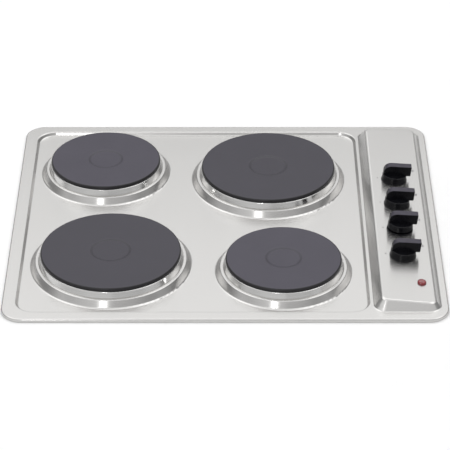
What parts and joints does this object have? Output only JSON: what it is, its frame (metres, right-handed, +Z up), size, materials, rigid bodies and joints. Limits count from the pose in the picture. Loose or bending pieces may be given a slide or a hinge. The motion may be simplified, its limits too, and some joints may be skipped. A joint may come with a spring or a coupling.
{
  "type": "built-in electric hob",
  "caption": "Built-in stainless hob with round cast-iron hotplates on raised collars, a tilted panel of rotary knobs at the right and a closed tray beneath.",
  "frame": {"origin": "underside of the base tray, under the middle of the hob's outline", "axes": "+X to the user's right along the 580 mm width, +Y to the back, +Z up"},
  "size_m": [0.58, 0.5, 0.0808],
  "materials": {
    "stainless": "brushed along the hob's width",
    "polished_stainless": "spun and polished",
    "hotplate_iron": "black heat-proof coating",
    "galvanised": "galvanised sheet",
    "zinc_steel": "zinc plated",
    "black_plastic": "fine moulded texture",
    "switch_plastic": "moulded phenolic",
    "lamp_red": "translucent red",
    "lamp_plastic": "moulded",
    "steatite": "unglazed",
    "coil_fill": "pressed magnesia with coils",
    "gasket_sheet": "woven glass fibre",
    "seal_foam": "closed-cell foam",
    "grommet_rubber": "moulded",
    "loom_sleeve": "glass-silk sleeve",
    "wire_red": "silicone insulation"
  },
  "bodies": {
    "root": {"hob_top": "stainless", "base_tray": "galvanised", "worktop_seal": "seal_foam", "hotplate_rear_left": "hotplate_iron", "heater_coils_rear_left": "coil_fill", "bottom_cover_rear_left": "galvanised", "spill_ring_rear_left": "polished_stainless", "clamp_bridge_rear_left": "galvanised", "plate_terminal_rear_left": "steatite", "plate_loom_rear_left": "loom_sleeve", "hotplate_rear_right": "hotplate_iron", "heater_coils_rear_right": "coil_fill", "bottom_cover_rear_right": "galvanised", "spill_ring_rear_right": "polished_stainless", "clamp_bridge_rear_right": "galvanised", "plate_terminal_rear_right": "steatite", "plate_loom_rear_right": "loom_sleeve", "hotplate_front_left": "hotplate_iron", "heater_coils_front_left": "coil_fill", "bottom_cover_front_left": "galvanised", "spill_ring_front_left": "polished_stainless", "clamp_bridge_front_left": "galvanised", "plate_terminal_front_left": "steatite", "plate_loom_front_left": "loom_sleeve", "hotplate_front_right": "hotplate_iron", "heater_coils_front_right": "coil_fill", "bottom_cover_front_right": "galvanised", "spill_ring_front_right": "polished_stainless", "clamp_bridge_front_right": "galvanised", "plate_terminal_front_right": "steatite", "plate_loom_front_right": "loom_sleeve", "ring_gaskets": "gasket_sheet", "plate_studs": "zinc_steel", "plate_nuts": "zinc_steel", "switch_body_1": "switch_plastic", "switch_body_2": "switch_plastic", "switch_body_3": "switch_plastic", "switch_body_4": "switch_plastic", "switch_screws": "zinc_steel", "knob_bezels": "black_plastic", "switch_rail": "galvanised", "lamp_lens": "lamp_red", "lamp_body": "lamp_plastic", "lamp_lead": "wire_red", "feed_wires": "wire_red", "tray_pillars": "zinc_steel", "tray_screws": "zinc_steel", "cable_grommet": "grommet_rubber", "anchor_base": "switch_plastic", "anchor_bar": "switch_plastic", "anchor_screws": "zinc_steel", "mains_terminal": "lamp_plastic"},
    "knob_1_turn": {"knob_1": "black_plastic", "switch_spindle_1": "zinc_steel"},
    "knob_2_turn": {"knob_2": "black_plastic", "switch_spindle_2": "zinc_steel"},
    "knob_3_turn": {"knob_3": "black_plastic", "switch_spindle_3": "zinc_steel"},
    "knob_4_turn": {"knob_4": "black_plastic", "switch_spindle_4": "zinc_steel"}
  },
  "joints": [
    {"name": "knob_1_turn", "type": "hinge", "parent": "root", "child": "knob_1_turn", "pos_m": [0.2362, 0.0805, 0.054], "axis": [0.0656, 0, 0.9978], "continuous": true},
    {"name": "knob_2_turn", "type": "hinge", "parent": "root", "child": "knob_2_turn", "pos_m": [0.2362, 0.0152, 0.054], "axis": [0.0656, 0, 0.9978], "continuous": true},
    {"name": "knob_3_turn", "type": "hinge", "parent": "root", "child": "knob_3_turn", "pos_m": [0.2362, -0.0501, 0.054], "axis": [0.0656, 0, 0.9978], "continuous": true},
    {"name": "knob_4_turn", "type": "hinge", "parent": "root", "child": "knob_4_turn", "pos_m": [0.2362, -0.1154, 0.054], "axis": [0.0656, 0, 0.9978], "continuous": true}
  ]
}
